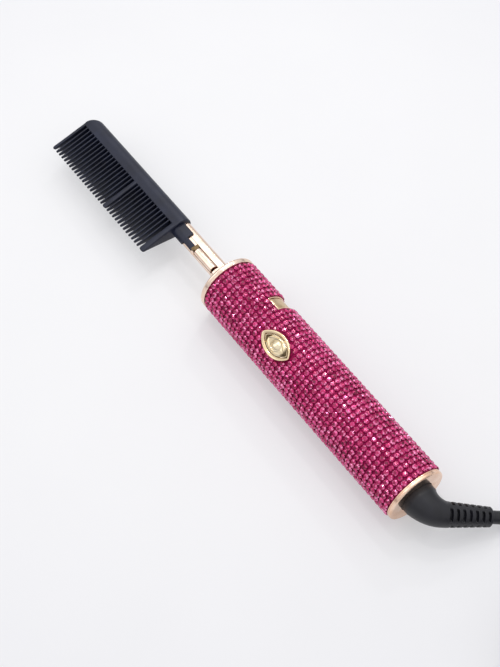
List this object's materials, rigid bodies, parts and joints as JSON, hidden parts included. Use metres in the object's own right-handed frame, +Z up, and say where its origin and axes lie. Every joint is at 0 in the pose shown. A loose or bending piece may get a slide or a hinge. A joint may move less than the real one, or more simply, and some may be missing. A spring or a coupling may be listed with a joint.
{
  "type": "hot comb",
  "caption": "Corded hot comb with a hollow black metal comb, a gilt neck, a stone-covered round handle with two push buttons, and a swivelling mains cord.",
  "frame": {"origin": "middle of the comb, neck and handle in plan, on the surface that the handle lies on", "axes": "+X along the handle axis toward the comb, +Y toward the tips of the teeth, +Z up"},
  "size_m": [0.4936, 0.0701, 0.0335],
  "materials": {
    "comb_metal": "satin blue-black ceramic coat on cast metal",
    "spreader_aluminium": "extruded aluminium",
    "heater_ceramic": "dark ceramic heater strip",
    "probe_metal": "small metal probe",
    "catch_bronze": "dark bronze",
    "champagne_gold": "polished champagne-gold plating",
    "screw_steel": "plain steel",
    "lead_insulation": "silicone-insulated wire",
    "sheet_fabric": "dark red mesh",
    "ruby_stones": "cut ruby-pink stones, foiled behind",
    "yellow_gold": "polished yellow-gold plating",
    "black_plastic": "black nylon",
    "switch_plastic": "grey switch housing",
    "rose_gold": "polished rose-gold plating",
    "satin_gold": "satin olive-gold face",
    "tray_plastic": "white heat-proof plastic",
    "board_green": "solder-masked glass-epoxy board",
    "contact_board": "phenolic disc",
    "contact_brass": "brass",
    "cord_rubber": "black satin rubber"
  },
  "bodies": {
    "tool": {"comb_body": "comb_metal", "heat_spreader": "spreader_aluminium", "ptc_heater": "heater_ceramic", "temperature_probe": "probe_metal", "comb_tang": "comb_metal", "latch_tip": "catch_bronze", "neck_channel": "champagne_gold", "neck_cover": "champagne_gold", "neck_rivet": "champagne_gold", "neck_screws": "screw_steel", "thermal_fuse": "screw_steel", "heater_leads": "lead_insulation", "front_cap": "champagne_gold", "handle_tube": "champagne_gold", "stone_sheet": "sheet_fabric", "rhinestones": "ruby_stones", "navette_rim": "yellow_gold", "power_switch": "switch_plastic", "window_frame": "rose_gold", "mode_switch": "switch_plastic", "board_tray": "tray_plastic", "circuit_board": "board_green", "board_parts": "black_plastic", "board_screws": "screw_steel", "rear_cap": "rose_gold", "swivel_retainer": "tray_plastic", "contact_plate": "contact_board", "contact_rings": "contact_brass", "mains_leads": "lead_insulation"},
    "power_key": {"power_button": "yellow_gold", "power_plunger": "black_plastic"},
    "mode_key": {"mode_button": "satin_gold", "mode_plunger": "black_plastic"},
    "swivel": {"swivel_collar": "switch_plastic", "contact_pins": "contact_brass", "cord_boot": "cord_rubber", "cord": "cord_rubber", "cord_hank": "cord_rubber", "cord_tie": "black_plastic", "plug_body": "cord_rubber", "plug_blades": "contact_brass"}
  },
  "joints": [
    {"name": "power_press", "type": "slide", "parent": "tool", "child": "power_key", "axis": [0, -0.506, -0.8625], "range_m": [0, 0.0008], "stiffness_N_per_m": 1500, "springref_m": -0.0004},
    {"name": "mode_press", "type": "slide", "parent": "tool", "child": "mode_key", "axis": [0, 0.8625, -0.506], "range_m": [0, 0.0008], "stiffness_N_per_m": 1500, "springref_m": -0.0004},
    {"name": "cord_swivel", "type": "hinge", "parent": "tool", "child": "swivel", "pos_m": [-0.1404, -0.00353, 0.01656], "axis": [-1, 0, 0], "continuous": true}
  ]
}
